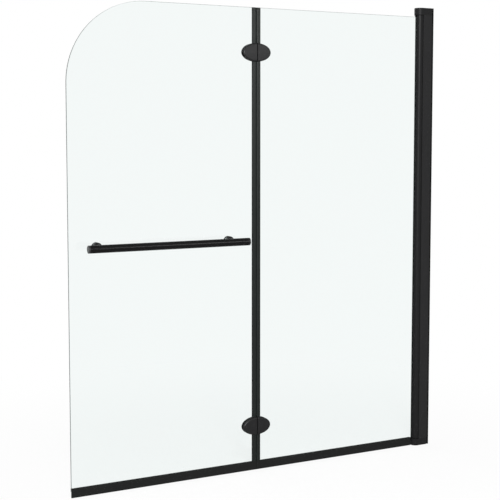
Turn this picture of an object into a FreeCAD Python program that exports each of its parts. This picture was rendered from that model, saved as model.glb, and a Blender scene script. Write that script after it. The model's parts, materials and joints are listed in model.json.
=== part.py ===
import FreeCAD, Part
import math
import os

# Folding bath screen. An outer glass panel with a rounded top corner folds on two oval hinges
# against an inner panel, and the inner panel swings on a round barrel seated in a wall profile.
# Frame, in millimetres: the wall is the plane x = 0 and the screen reaches out along -X. The room
# side faces -Y and the bath side +Y, y = 0 is the middle of the glass, and z = 0 is the bath rim.

# Whole screen
screen_width = 1200.0            # wall face to the free edge of the outer glass
screen_height = 1400.0           # rim to the top of the wall profile
seam_from_wall = 624.2           # wall face to the joint between the panels
rail_above_rim = 694.8           # rim to the axis of the rail

# Glass
glass_thickness = 6.0
glass_above_rim = 18.0           # rim to the lower edge of the glass
glass_top_drop = 27.8            # top of the wall profile down to the top edge of the glass
glass_from_seam = 2.75           # each pane stops this far from the joint
corner_radius = 230.0            # rounded top corner of the outer glass
arris = 0.5                      # ground bevel along the glass edges
notch_gap = 2.0                  # room left round the bottom cap where the inner glass is notched

# Clearances and cutting room
overrun = 5.0
running_gap = 0.05               # radial, a pin that turns in its bore
snug_gap = 0.02                  # radial, pieces fixed in each other
easy_gap = 0.3                   # pieces that slide past or face each other
end_play = 0.2                   # bush flange to cap
same_place = 0.001               # two coordinates closer than this count as one

# Wall channel
channel_wall = 1.4
channel_base = 1.8
channel_show = 7.1               # strip of the channel left bare beside the wall
channel_end_show = 3.8           # depth left where the arms are notched for the caps
wall_hole_radius = 2.6
wall_hole_from_end = 100.0
adjust_out = 10.0                # travel of the sleeve away from the wall
adjust_in = 3.0                  # travel of the sleeve towards the wall

# Adjusting sleeve
sleeve_wall = 1.4
seat_gap = 0.5                   # barrel to its hollow seat
seat_wall = 1.5
seat_lip = 1.3                   # metal outside the seat where it meets the flat sides
lip_setback = 3.5                # swing axis to the tips of the seat's lips

# Adjusting screws and nuts
adjuster_radius = 2.0
adjuster_head_radius = 4.0
adjuster_head = 2.2
adjuster_head_round = 0.8
adjuster_length = 10.0
adjuster_from_wall = 12.0
adjuster_from_end = 160.0
nut_width = 7.0
nut_thickness = 3.0

# Pivot
axis_from_wall = 42.4            # wall face to the swing axis
pin_radius = 3.0
pin_in_cap = 16.0
pin_in_barrel = 12.0
pin_tip = 0.6                    # bevel on the ends of the pin
bush_radius = 4.5
bush_length = 14.0
bush_flange_radius = 8.0
bush_flange = 1.0

# Pivot barrel and its gasket
barrel_radius = 15.2
barrel_wall = 1.6
port_wall = 1.5                  # metal between the pin bore and the glazing pocket
gasket_wall = 1.4
gasket_recess = 0.2              # gasket lips stay this far inside the barrel's surface

# Caps and their screws
cap_height = 22.0
cap_plate = 2.0
cap_wall = 2.0
cap_boss_radius = 7.0
cap_bevel = 0.8
cap_screw_radius = 1.95
cap_screw_length = 34.0
cap_screw_head_radius = 3.7
cap_screw_head = 1.9
cap_screw_offset = 8.0           # from the middle of the profile
screw_port_wall = 1.2

# Oval hinges
lower_hinge_above_rim = 134.2
upper_hinge_drop = 129.4         # top edge of the glass down to the centre of the upper hinge
hinge_width = 90.6
hinge_height = 53.6
plate_face = 11.0                # middle of the glass to the outer face of a plate
plate_bevel = 3.5                # width of the bevel round a plate
plate_bevel_depth = 3.0
plate_gap = 2.0                  # between the two halves of a hinge
pad_thickness = 1.0
pad_inset = 1.5
hinge_bolt_from_seam = 20.0
hinge_bolt_spacing = 24.0
hinge_boss_radius = 4.3
hinge_boss_setback = 0.5         # end of the boss to the rear leaf
glass_hinge_hole_radius = 5.0
hinge_bolt_radius = 2.45
hinge_bolt_head_radius = 4.8
hinge_bolt_head = 2.6
hinge_bolt_length = 18.0
hinge_thread_end = 1.0           # thread cut beyond the tip of the screw

# Hinge knuckles and pins
fold_behind = 12.0               # middle of the glass to the fold axis, on the bath side
knuckle_radius = 5.5
knuckle_relief = 0.4
knuckle_play = 0.3
middle_knuckle = 14.0
end_knuckle = 10.7
hinge_pin_radius = 2.5
hinge_pin_proud = 0.8
hinge_pin_tip = 0.5

# Upright edge seals
edge_seal_reach = 12.8           # joint to the outer edge of the seal
seal_half = 4.5                  # middle of the glass to the outside of a seal
seal_from_seam = 0.3
edge_seal_nose = 2.4
seal_edge_round = 0.8
seal_end_gap = 0.5               # seal ends to hinge plates

# Foot seals
foot_seal_top = 26.3
foot_grip = 10.0                 # height of the part that grips the glass
lip_front = 4.0                  # middle of the glass to the room side of the lip
lip_width = 4.5
lip_wall = 1.2
lip_round = 2.0
foot_seal_gap = 2.5              # inner foot seal to the bottom cap

# Rail
rail_radius = 11.0
rail_wall = 1.5
rail_from_free_edge = 39.6       # free edge of the glass to the end of the rail
rail_from_seam = 47.6            # joint between the panels to the other end of the rail
rail_from_glass = 52.0           # middle of the glass to the axis of the rail
plug_head = 4.0
plug_bevel = 0.8
plug_spigot = 12.0

# Rail posts, rear caps, washers and bolts
post_from_rail_end = 42.0
post_radius = 9.0
post_spigot_radius = 4.0
post_spigot = 2.0                # how far the spigot stands inside the tube
disc_radius = 13.2
disc_face = 11.0                 # middle of the glass to the face of a disc
disc_bevel = 1.2
washer_radius = 11.6
washer_thickness = 1.0
washer_collar = 2.5
glass_rail_hole_radius = 6.0
rail_bolt_radius = 3.0
rail_bolt_head_radius = 6.0
rail_bolt_head = 3.0
rail_bolt_length = 36.0
rail_thread_end = 2.0

# Sockets in the screws, as shares of the head they are cut in
socket_width_share = 0.42
socket_depth_share = 0.75


def vector(x, y, z):
    return FreeCAD.Vector(x, y, z)


def block(xs, ys, zs):
    """A box between pairs of low and high coordinates."""
    corner = vector(xs[0], ys[0], zs[0])
    return Part.makeBox(xs[1] - xs[0], ys[1] - ys[0], zs[1] - zs[0], corner)


def rod(radius, start, end):
    """A round bar from one point to another."""
    line = end.sub(start)
    return Part.makeCylinder(radius, line.Length, start, line)


def upright_rod(radius, x, y, low, high):
    return rod(radius, vector(x, y, low), vector(x, y, high))


def cross_rod(radius, x, z, front, back):
    """A round bar through the screen, along Y."""
    return rod(radius, vector(x, front, z), vector(x, back, z))


def turned(outline, start, way):
    """A turned piece: (radius, distance) points from the start, revolved about the given way."""
    points = [vector(radius, 0, along) for radius, along in outline]
    face = Part.Face(Part.makePolygon(points + points[:1]))
    piece = face.revolve(vector(0, 0, 0), vector(0, 0, 1), 360)
    piece.Placement = FreeCAD.Placement(start, FreeCAD.Rotation(vector(0, 0, 1), way))
    return piece


def socket(head_radius, head_depth, start, way):
    """The six-sided hole for the key, to be cut from a screw's head."""
    reach = head_radius * socket_width_share
    depth = head_depth * socket_depth_share
    corners = [
        vector(reach * math.cos(math.radians(60 * i)), reach * math.sin(math.radians(60 * i)), 0)
        for i in range(7)
    ]
    hole = Part.Face(Part.makePolygon(corners)).extrude(vector(0, 0, depth))
    hole.Placement = FreeCAD.Placement(start, FreeCAD.Rotation(vector(0, 0, 1), way))
    return hole


def sunk_screw(radius, length, head_radius, head_depth, start, way):
    """A countersunk screw whose head face lies at the start."""
    outline = [(0, 0), (head_radius, 0), (radius, head_depth), (radius, length), (0, length)]
    piece = turned(outline, start, way)
    return piece.cut(socket(head_radius, head_depth, start, way))


def sunk_hole(radius, depth, head_radius, head_depth, start, way):
    """The hole that such a screw passes, with its countersink, to be cut from a plate."""
    bore = radius + running_gap
    rim = head_radius + running_gap
    return turned([(0, 0), (rim, 0), (bore, head_depth), (bore, depth), (0, depth)], start, way)


def edges_at(shape, axis, place):
    """The edges of a shape that lie in the plane where x, y or z has the given value."""
    found = []
    for edge in shape.Edges:
        box = edge.BoundBox
        low, high = {"x": (box.XMin, box.XMax), "y": (box.YMin, box.YMax), "z": (box.ZMin, box.ZMax)}[axis]
        if abs(low - place) < same_place and abs(high - place) < same_place:
            found.append(edge)
    return found


def edges_along(shape, axis, wanted):
    """The straight edges along x, y or z whose middle passes the test given as wanted."""
    found = []
    for edge in shape.Edges:
        box = edge.BoundBox
        spans = {"x": box.XLength, "y": box.YLength, "z": box.ZLength}
        along = spans.pop(axis)
        if along > same_place and max(spans.values()) < same_place and wanted(box.Center):
            found.append(edge)
    return found


def at_the_top(shape):
    """The same piece at the other end of the profile, mirrored at half height."""
    return shape.mirror(vector(0, 0, screen_height / 2), vector(0, 0, 1))


# Places that follow from the sizes
axis_x = -axis_from_wall
seam_x = -seam_from_wall
free_edge_x = -screen_width
glass_half = glass_thickness / 2
glass_top = screen_height - glass_top_drop
seat_radius = barrel_radius + seat_gap
profile_half = seat_radius + seat_lip
channel_half = profile_half - sleeve_wall - easy_gap
channel_inside = channel_half - channel_wall
sleeve_low = cap_height
sleeve_high = screen_height - cap_height
barrel_low = cap_height + end_play + bush_flange
barrel_high = screen_height - barrel_low
pocket_half = glass_half + gasket_wall
pocket_floor = bush_radius + port_wall
glass_in_barrel_x = axis_x - pocket_floor - gasket_wall
notch_x = axis_x - profile_half - notch_gap
notch_z = cap_height + notch_gap
cap_screw_bore = cap_screw_radius + running_gap
cap_screw_from_axis = seat_radius + seat_wall + cap_screw_bore
cap_screw_x = axis_x + math.sqrt(cap_screw_from_axis ** 2 - cap_screw_offset ** 2)
adjuster_heights = (adjuster_from_end, screen_height / 2, screen_height - adjuster_from_end)
wall_hole_heights = (wall_hole_from_end, screen_height / 2, screen_height - wall_hole_from_end)
hinge_levels = {"lower": lower_hinge_above_rim, "upper": glass_top - upper_hinge_drop}
hinge_sides = {"inner": 1, "outer": -1}
pad_face = glass_half + pad_thickness
rail_y = -rail_from_glass
rail_low_x = free_edge_x + rail_from_free_edge
rail_high_x = seam_x - rail_from_seam
tube_low_x = rail_low_x + plug_head
tube_high_x = rail_high_x - plug_head
post_places = {"left": rail_low_x + post_from_rail_end, "right": rail_high_x - post_from_rail_end}


# Wall side: what is screwed to the wall, and what slides on it
def channel_tip():
    """Where the arms end, so that they clear the outside of the seat with the sleeve pushed in."""
    seat_reach = math.sqrt(max((seat_radius + seat_wall) ** 2 - channel_inside ** 2, 0))
    return axis_x + seat_reach + adjust_in + easy_gap


def wall_channel():
    """U section with its back on the wall. The arms are notched at both ends for the caps and
    slotted on the bath side for the adjusting screws."""
    tip = channel_tip()
    past = (-overrun, screen_height + overrun)
    body = block((tip, 0), (-channel_half, channel_half), (0, screen_height))
    body = body.cut(block((tip - overrun, -channel_base), (-channel_inside, channel_inside), past))
    across = (-channel_half - overrun, channel_half + overrun)
    low_end = block((tip - overrun, -channel_end_show), across, (-overrun, cap_height + easy_gap))
    body = body.cut(low_end).cut(at_the_top(low_end))
    for z in wall_hole_heights:
        hole = rod(wall_hole_radius, vector(-channel_base - overrun, 0, z), vector(overrun, 0, z))
        body = body.cut(hole)
    slot_radius = adjuster_radius + easy_gap
    slot_xs = (-adjuster_from_wall - adjust_out, -adjuster_from_wall + adjust_in)
    slot_ys = (0, channel_half + overrun)
    for z in adjuster_heights:
        slot = block(slot_xs, slot_ys, (z - slot_radius, z + slot_radius))
        for x in slot_xs:
            slot = slot.fuse(cross_rod(slot_radius, x, z, *slot_ys))
        body = body.cut(slot)
    return body


def adjusting_sleeve():
    """Two flat sides joined by a hollow seat for the barrel, with a screw port behind each side
    of the seat for the cap screws."""
    heights = (sleeve_low, sleeve_high)
    past = (sleeve_low - overrun, sleeve_high + overrun)
    xs = (axis_x + lip_setback, -channel_show)
    body = block(xs, (-profile_half, profile_half), heights)
    room = block((axis_x, overrun), (-profile_half + sleeve_wall, profile_half - sleeve_wall), past)
    room = room.cut(upright_rod(seat_radius + seat_wall, axis_x, 0, past[0] - overrun, past[1] + overrun))
    body = body.cut(room)
    for side in (-1, 1):
        ring = upright_rod(cap_screw_bore + screw_port_wall, cap_screw_x, side * cap_screw_offset, *heights)
        body = body.fuse(ring)
    body = body.cut(upright_rod(seat_radius, axis_x, 0, *past))
    for side in (-1, 1):
        body = body.cut(upright_rod(cap_screw_bore, cap_screw_x, side * cap_screw_offset, *past))
    screw_hole_radius = adjuster_radius + running_gap
    for z in adjuster_heights:
        body = body.cut(cross_rod(screw_hole_radius, -adjuster_from_wall, z, 0, profile_half + overrun))
    return body.removeSplitter()


def cap_outline(inset, back, low, high):
    """D-shaped prism: flat sides and a round nose about the swing axis, drawn in by the inset."""
    half = profile_half - inset
    flat = block((axis_x, back), (-half, half), (low, high))
    return flat.fuse(upright_rod(half, axis_x, 0, low, high)).removeSplitter()


def bottom_cap():
    """Shell over the end of the sleeve, with a boss for the pivot pin and two for the cap screws."""
    body = cap_outline(0, -channel_show, 0, cap_height)
    body = body.makeChamfer(cap_bevel, edges_at(body, "z", 0))
    body = body.cut(cap_outline(cap_wall, overrun, cap_plate, cap_height + overrun))
    body = body.fuse(upright_rod(cap_boss_radius, axis_x, 0, cap_plate, cap_height))
    for side in (-1, 1):
        y = side * cap_screw_offset
        body = body.fuse(upright_rod(cap_screw_bore + screw_port_wall, cap_screw_x, y, cap_plate, cap_height))
    pin_end = cap_height - pin_in_cap
    body = body.cut(upright_rod(pin_radius + snug_gap, axis_x, 0, pin_end, cap_height + overrun))
    for side in (-1, 1):
        start = vector(cap_screw_x, side * cap_screw_offset, 0)
        body = body.cut(sunk_hole(cap_screw_radius, cap_height + overrun, cap_screw_head_radius,
                                  cap_screw_head, start, vector(0, 0, 1)))
    return body


def lower_cap_screws():
    return [
        sunk_screw(cap_screw_radius, cap_screw_length, cap_screw_head_radius, cap_screw_head,
                   vector(cap_screw_x, side * cap_screw_offset, 0), vector(0, 0, 1))
        for side in (-1, 1)
    ]


def bevelled_pin(radius, tip, x, y, low, high):
    """An upright pin with bevelled ends."""
    pin = upright_rod(radius, x, y, low, high)
    return pin.makeChamfer(tip, edges_at(pin, "z", low) + edges_at(pin, "z", high))


def lower_pivot_pin():
    """Pin pressed into the boss of the cap, on which the bush of the barrel turns."""
    return bevelled_pin(pin_radius, pin_tip, axis_x, 0, cap_height - pin_in_cap, cap_height + pin_in_barrel)


def adjusting_screws():
    """Pan head screws through the bath side of the sleeve and the slots of the channel."""
    outline = [(0, 0), (adjuster_head_radius - adjuster_head_round, 0),
               (adjuster_head_radius, adjuster_head_round), (adjuster_head_radius, adjuster_head),
               (adjuster_radius, adjuster_head), (adjuster_radius, adjuster_length), (0, adjuster_length)]
    screws = []
    for z in adjuster_heights:
        start = vector(-adjuster_from_wall, profile_half + adjuster_head, z)
        way = vector(0, -1, 0)
        screw = turned(outline, start, way)
        screws.append(screw.cut(socket(adjuster_head_radius, adjuster_head, start, way)))
    return screws


def adjusting_nuts():
    """Square nuts inside the arm of the channel, one on each adjusting screw."""
    face = channel_inside - easy_gap
    half = nut_width / 2
    xs = (-adjuster_from_wall - half, -adjuster_from_wall + half)
    nuts = []
    for z in adjuster_heights:
        nut = block(xs, (face - nut_thickness, face), (z - half, z + half))
        nuts.append(nut.cut(cross_rod(adjuster_radius + running_gap, -adjuster_from_wall, z, 0, face)))
    return nuts


# Inner panel: barrel, bushes, glass and seals
def pivot_barrel():
    """Round extrusion: a thin wall, a glazing pocket open to the glass and a bore on the swing axis,
    tied to the wall by a rib."""
    heights = (barrel_low, barrel_high)
    past = (barrel_low - overrun, barrel_high + overrun)
    outside = upright_rod(barrel_radius, axis_x, 0, *heights)
    hollow = upright_rod(barrel_radius - barrel_wall, axis_x, 0, *past)
    jaw_half = pocket_half + barrel_wall
    jaws = block((axis_x - barrel_radius, axis_x), (-jaw_half, jaw_half), past)
    port = upright_rod(pocket_floor, axis_x, 0, *past)
    rib = block((axis_x, axis_x + barrel_radius), (-barrel_wall / 2, barrel_wall / 2), past)
    body = outside.cut(hollow.cut(jaws.fuse(port).fuse(rib)))
    pocket_xs = (axis_x - barrel_radius - overrun, axis_x - pocket_floor)
    body = body.cut(block(pocket_xs, (-pocket_half, pocket_half), past))
    return body.cut(upright_rod(bush_radius, axis_x, 0, *past)).removeSplitter()


def barrel_gasket():
    """U-shaped strip between the glass and the walls of the glazing pocket."""
    mouth = axis_x - math.sqrt(barrel_radius ** 2 - pocket_half ** 2) + gasket_recess
    strip = block((mouth, axis_x - pocket_floor), (-pocket_half, pocket_half), (notch_z, glass_top))
    slot = block((mouth - overrun, glass_in_barrel_x), (-glass_half, glass_half), (0, screen_height))
    return strip.cut(slot)


def lower_bush():
    """Flanged bush in the end of the barrel. The flange carries the panel on the cap."""
    bore = pin_radius + running_gap
    outside = bush_radius - snug_gap
    end = bush_flange + bush_length
    outline = [(bore, 0), (bush_flange_radius, 0), (bush_flange_radius, bush_flange),
               (outside, bush_flange), (outside, end), (bore, end)]
    return turned(outline, vector(axis_x, 0, cap_height + end_play), vector(0, 0, 1))


def ground(pane):
    """The pane with its edges ground to a small bevel on both faces."""
    return pane.makeChamfer(arris, edges_at(pane, "y", -glass_half) + edges_at(pane, "y", glass_half))


def drilled(pane, side):
    """The pane with its holes for the clamp screws of both hinges."""
    for level in hinge_levels.values():
        for x, z in hinge_bolt_places(level, side):
            pane = pane.cut(cross_rod(glass_hinge_hole_radius, x, z, -plate_face, plate_face))
    return pane


def pane_from(edges):
    """A pane of glass from an outline drawn on its room side."""
    return ground(Part.Face(Part.Wire(edges)).extrude(vector(0, glass_thickness, 0)))


def inner_glass():
    """Pane with a small notch at the foot that lets it swing over the bottom cap."""
    near = seam_x + glass_from_seam
    outline = [(near, glass_above_rim), (notch_x, glass_above_rim), (notch_x, notch_z),
               (glass_in_barrel_x, notch_z), (glass_in_barrel_x, glass_top), (near, glass_top)]
    points = [vector(x, -glass_half, z) for x, z in outline]
    return drilled(pane_from(Part.makePolygon(points + points[:1]).Edges), hinge_sides["inner"])


def outer_glass():
    """Pane with a large round top corner, drilled for the hinges and the rail."""
    near = seam_x - glass_from_seam
    foot = vector(free_edge_x, -glass_half, glass_above_rim)
    arc_start = vector(free_edge_x, -glass_half, glass_top - corner_radius)
    arc_end = vector(free_edge_x + corner_radius, -glass_half, glass_top)
    lean = corner_radius * math.sqrt(0.5)
    arc_middle = vector(free_edge_x + corner_radius - lean, -glass_half, glass_top - corner_radius + lean)
    top_near = vector(near, -glass_half, glass_top)
    foot_near = vector(near, -glass_half, glass_above_rim)
    edges = [
        Part.makeLine(foot, arc_start),
        Part.Arc(arc_start, arc_middle, arc_end).toShape(),
        Part.makeLine(arc_end, top_near),
        Part.makeLine(top_near, foot_near),
        Part.makeLine(foot_near, foot),
    ]
    pane = drilled(pane_from(edges), hinge_sides["outer"])
    for x in post_places.values():
        pane = pane.cut(cross_rod(glass_rail_hole_radius, x, rail_above_rim, -plate_face, plate_face))
    return pane


def edge_seal(side, low, high):
    """Upright seal on the edge of a pane, with a rounded nose towards the other panel."""
    nose_x = seam_x + side * seal_from_seam
    grip_x = seam_x + side * edge_seal_reach
    body = block(sorted((nose_x, grip_x)), (-seal_half, seal_half), (low, high))
    body = body.makeFillet(edge_seal_nose, edges_along(body, "z", lambda p: abs(p.x - nose_x) < same_place))
    body = body.makeFillet(seal_edge_round, edges_along(body, "z", lambda p: abs(p.x - grip_x) < same_place))
    slot_xs = sorted((seam_x + side * glass_from_seam, grip_x + side * overrun))
    return body.cut(block(slot_xs, (-glass_half, glass_half), (low - overrun, high + overrun)))


def edge_seal_lengths():
    """The three lengths of an upright seal, cut out where the hinges clamp the glass."""
    reach = hinge_height / 2 + seal_end_gap
    lower, upper = hinge_levels["lower"], hinge_levels["upper"]
    return {
        "lower": (foot_seal_top, lower - reach),
        "middle": (lower + reach, upper - reach),
        "upper": (upper + reach, glass_top),
    }


def foot_seal(low_x, high_x):
    """Seal along the foot: a channel that grips the glass over a hollow lip on the room side."""
    grip_low = foot_seal_top - foot_grip
    grip = block((low_x, high_x), (-seal_half, seal_half), (grip_low, foot_seal_top))
    grip = grip.makeFillet(seal_edge_round, edges_along(grip, "x", lambda p: True))
    lip_ys = (-lip_front, -lip_front + lip_width)
    lip = block((low_x, high_x), lip_ys, (0, grip_low + seal_edge_round))
    lip = lip.makeFillet(lip_round, edges_along(lip, "x", lambda p: p.z < lip_round))
    hollow = block((low_x - overrun, high_x + overrun), (lip_ys[0] + lip_wall, lip_ys[1] - lip_wall),
                   (lip_wall, grip_low - lip_wall / 2))
    slot = block((low_x - overrun, high_x + overrun), (-glass_half, glass_half),
                 (glass_above_rim, foot_seal_top + overrun))
    return grip.fuse(lip).cut(hollow).cut(slot).removeSplitter()


# Oval hinges
def oval(level, y, inset):
    """The wire of a hinge's oval at one depth, drawn in by the inset."""
    centre = vector(seam_x, y, level)
    side = centre.add(vector(hinge_width / 2 - inset, 0, 0))
    top = centre.add(vector(0, 0, hinge_height / 2 - inset))
    return Part.Wire(Part.Ellipse(side, top, centre).toShape())


def half_of(shape, side, level, from_seam):
    """The part of a hinge piece that lies on one side of the seam."""
    xs = sorted((seam_x + side * from_seam, seam_x + side * hinge_width))
    keep = block(xs, (-hinge_width, hinge_width), (level - hinge_height, level + hinge_height))
    return shape.common(keep)


def oval_plate(level, way):
    """Oval plate with a bevelled rim, way is -1 for the room side and 1 for the bath side."""
    foot = way * pad_face
    shoulder = way * (plate_face - plate_bevel_depth)
    rim = Part.Face(oval(level, foot, 0)).extrude(vector(0, shoulder - foot, 0))
    crown = Part.makeLoft([oval(level, shoulder, 0), oval(level, way * plate_face, plate_bevel)], True, True)
    return rim.fuse(crown)


def hinge_bolt_places(level, side):
    x = seam_x + side * hinge_bolt_from_seam
    return [(x, level - hinge_bolt_spacing / 2), (x, level + hinge_bolt_spacing / 2)]


def front_plate(level, side):
    """Room side half of a hinge, with two threaded bosses that pass through the glass."""
    body = half_of(oval_plate(level, -1), side, level, plate_gap / 2)
    tip = plate_face - hinge_bolt_length - hinge_thread_end
    for x, z in hinge_bolt_places(level, side):
        body = body.fuse(cross_rod(hinge_boss_radius, x, z, -pad_face, pad_face - hinge_boss_setback))
        body = body.cut(cross_rod(hinge_bolt_radius + running_gap, x, z, tip, plate_face))
    return body


def knuckle_spans(level, side):
    """The heights of the knuckles of one leaf: the inner leaf has the middle one, the outer leaf
    the two at the ends."""
    half = middle_knuckle / 2
    if side == hinge_sides["inner"]:
        return [(level - half, level + half)]
    reach = half + knuckle_play
    return [(level - reach - end_knuckle, level - reach), (level + reach, level + reach + end_knuckle)]


def rear_leaf(level, side):
    """Bath side half of a hinge, with its knuckles round the fold axis, room for those of the other
    leaf and countersunk holes for the clamp screws."""
    body = half_of(oval_plate(level, 1), side, level, plate_gap / 2)
    relief_radius = knuckle_radius + knuckle_relief
    for low, high in knuckle_spans(level, -side):
        room = upright_rod(relief_radius, seam_x, fold_behind, low - knuckle_play, high + knuckle_play)
        body = body.cut(room)
    for low, high in knuckle_spans(level, side):
        body = body.fuse(upright_rod(knuckle_radius, seam_x, fold_behind, low, high))
    gap = running_gap if side == hinge_sides["inner"] else snug_gap
    ends = (level - hinge_height, level + hinge_height)
    body = body.cut(upright_rod(hinge_pin_radius + gap, seam_x, fold_behind, *ends))
    for x, z in hinge_bolt_places(level, side):
        body = body.cut(sunk_hole(hinge_bolt_radius, plate_face, hinge_bolt_head_radius, hinge_bolt_head,
                                  vector(x, plate_face, z), vector(0, -1, 0)))
    return body


def hinge_pads(level, side):
    """Soft pads between the glass and the two plates of a hinge half."""
    pads = []
    for ys in ((-pad_face, -glass_half), (glass_half, pad_face)):
        pad = Part.Face(oval(level, ys[0], pad_inset)).extrude(vector(0, ys[1] - ys[0], 0))
        pad = half_of(pad, side, level, glass_from_seam)
        for x, z in hinge_bolt_places(level, side):
            pad = pad.cut(cross_rod(glass_hinge_hole_radius, x, z, -plate_face, plate_face))
        pads.append(pad)
    return pads


def hinge_pin(level):
    """Pin through the three knuckles, a little proud at both ends."""
    reach = middle_knuckle / 2 + knuckle_play + end_knuckle + hinge_pin_proud
    return bevelled_pin(hinge_pin_radius, hinge_pin_tip, seam_x, fold_behind, level - reach, level + reach)


def hinge_screws(side):
    """The clamp screws of one panel, two for each hinge."""
    return [
        sunk_screw(hinge_bolt_radius, hinge_bolt_length, hinge_bolt_head_radius, hinge_bolt_head,
                   vector(x, plate_face, z), vector(0, -1, 0))
        for level in hinge_levels.values()
        for x, z in hinge_bolt_places(level, side)
    ]


# Rail
def rail_line(radius, low_x, high_x):
    return rod(radius, vector(low_x, rail_y, rail_above_rim), vector(high_x, rail_y, rail_above_rim))


def rail_tube():
    """Tube with a hole for the spigot of each post in the wall that faces the glass."""
    body = rail_line(rail_radius, tube_low_x, tube_high_x)
    body = body.cut(rail_line(rail_radius - rail_wall, tube_low_x - overrun, tube_high_x + overrun))
    for x in post_places.values():
        body = body.cut(cross_rod(post_spigot_radius + snug_gap, x, rail_above_rim, rail_y, 0))
    return body


def end_plug(way):
    """Bevelled plug with a spigot in the end of the tube, way is -1 for the free edge's side."""
    face_x = rail_low_x if way < 0 else rail_high_x
    bore = rail_radius - rail_wall - snug_gap
    outline = [(0, 0), (rail_radius, 0), (rail_radius, plug_head), (bore, plug_head),
               (bore, plug_head + plug_spigot), (0, plug_head + plug_spigot)]
    body = turned(outline, vector(face_x, rail_y, rail_above_rim), vector(-way, 0, 0))
    return body.makeChamfer(plug_bevel, edges_at(body, "x", face_x))


def rail_post(x):
    """Post with a flange on the glass, a saddle round the tube and a spigot through its wall."""
    foot = glass_half + washer_thickness
    outline = [(0, 0), (disc_radius, 0), (disc_radius, disc_face - foot), (post_radius, disc_face - foot),
               (post_radius, rail_from_glass - foot), (0, rail_from_glass - foot)]
    body = turned(outline, vector(x, -foot, rail_above_rim), vector(0, -1, 0))
    rims = [edge for edge in edges_at(body, "y", -disc_face) if edge.BoundBox.ZLength > post_radius * 2]
    body = body.makeChamfer(disc_bevel, rims)
    body = body.cut(rail_line(rail_radius + snug_gap, tube_low_x, tube_high_x))
    spigot_ys = (rail_y + rail_radius - rail_wall - post_spigot, rail_y + rail_radius + overrun)
    body = body.fuse(cross_rod(post_spigot_radius, x, rail_above_rim, *spigot_ys))
    thread_end = disc_face - rail_bolt_length - rail_thread_end
    return body.cut(cross_rod(rail_bolt_radius + running_gap, x, rail_above_rim, thread_end, 0))


def rail_rear_cap(x):
    """Disc on the bath side with a countersunk hole for the bolt."""
    foot = glass_half + washer_thickness
    body = cross_rod(disc_radius, x, rail_above_rim, foot, disc_face)
    body = body.makeChamfer(disc_bevel, edges_at(body, "y", disc_face))
    return body.cut(sunk_hole(rail_bolt_radius, disc_face, rail_bolt_head_radius, rail_bolt_head,
                              vector(x, disc_face, rail_above_rim), vector(0, -1, 0)))


def rail_washers(x):
    """Washers on both faces of the glass, each with a collar that keeps the bolt off the glass."""
    bore = rail_bolt_radius + running_gap
    collar = glass_rail_hole_radius - snug_gap
    end = washer_thickness + washer_collar
    outline = [(bore, 0), (washer_radius, 0), (washer_radius, washer_thickness),
               (collar, washer_thickness), (collar, end), (bore, end)]
    foot = glass_half + washer_thickness
    return [turned(outline, vector(x, way * foot, rail_above_rim), vector(0, -way, 0)) for way in (-1, 1)]


def rail_bolt(x):
    return sunk_screw(rail_bolt_radius, rail_bolt_length, rail_bolt_head_radius, rail_bolt_head,
                      vector(x, disc_face, rail_above_rim), vector(0, -1, 0))


# Assembly: one entry for each node, a list where a node holds several alike solids
def assembly():
    nodes = {
        "wall_channel": wall_channel(),
        "adjusting_sleeve": adjusting_sleeve(),
        "bottom_cap": bottom_cap(),
        "top_cap": at_the_top(bottom_cap()),
        "cap_screws": lower_cap_screws() + [at_the_top(screw) for screw in lower_cap_screws()],
        "adjusting_screws": adjusting_screws(),
        "adjusting_nuts": adjusting_nuts(),
        "lower_pivot_pin": lower_pivot_pin(),
        "upper_pivot_pin": at_the_top(lower_pivot_pin()),
        "pivot_barrel": pivot_barrel(),
        "barrel_gasket": barrel_gasket(),
        "lower_bush": lower_bush(),
        "upper_bush": at_the_top(lower_bush()),
        "inner_glass": inner_glass(),
        "outer_glass": outer_glass(),
        "inner_foot_seal": foot_seal(seam_x + seal_from_seam, axis_x - profile_half - foot_seal_gap),
        "outer_foot_seal": foot_seal(free_edge_x, seam_x - seal_from_seam),
        "rail_tube": rail_tube(),
        "rail_left_plug": end_plug(-1),
        "rail_right_plug": end_plug(1),
    }
    for panel, side in hinge_sides.items():
        for length, (low, high) in edge_seal_lengths().items():
            nodes[f"{panel}_edge_seal_{length}"] = edge_seal(side, low, high)
        nodes[f"{panel}_hinge_screws"] = hinge_screws(side)
        for name, level in hinge_levels.items():
            nodes[f"{name}_hinge_{panel}_front_plate"] = front_plate(level, side)
            nodes[f"{name}_hinge_{panel}_rear_leaf"] = rear_leaf(level, side)
            nodes[f"{name}_hinge_{panel}_pads"] = hinge_pads(level, side)
    for name, level in hinge_levels.items():
        nodes[f"{name}_hinge_pin"] = hinge_pin(level)
    for name, x in post_places.items():
        nodes[f"rail_{name}_post"] = rail_post(x)
        nodes[f"rail_{name}_rear_cap"] = rail_rear_cap(x)
        nodes[f"rail_{name}_washers"] = rail_washers(x)
    nodes["rail_bolts"] = [rail_bolt(x) for x in post_places.values()]
    return nodes


os.makedirs("parts", exist_ok=True)
for name, shape in assembly().items():
    if isinstance(shape, list):
        shape = Part.makeCompound(shape)
    shape.exportStep(f"parts/{name}.step")
    print(name, len(shape.Solids), "solids,", round(shape.Volume), "mm3, valid:", shape.isValid())
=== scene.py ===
# %% [markdown]
# A folding bath screen: two panes of clear glass that fold on a pair of oval hinges and swing on a
# black wall profile. The engineering model gives every piece at its real size. This lesson dresses
# it: it builds the visible fittings again as smooth, softly edged surfaces, and finishes glass,
# powder coat, plastic and seals with procedural materials.
#
# The scene has to be empty first, because the box of the whole object is measured from everything
# that a render would show.

# %% Empty the scene and load the engineering model
import json
import math

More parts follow.
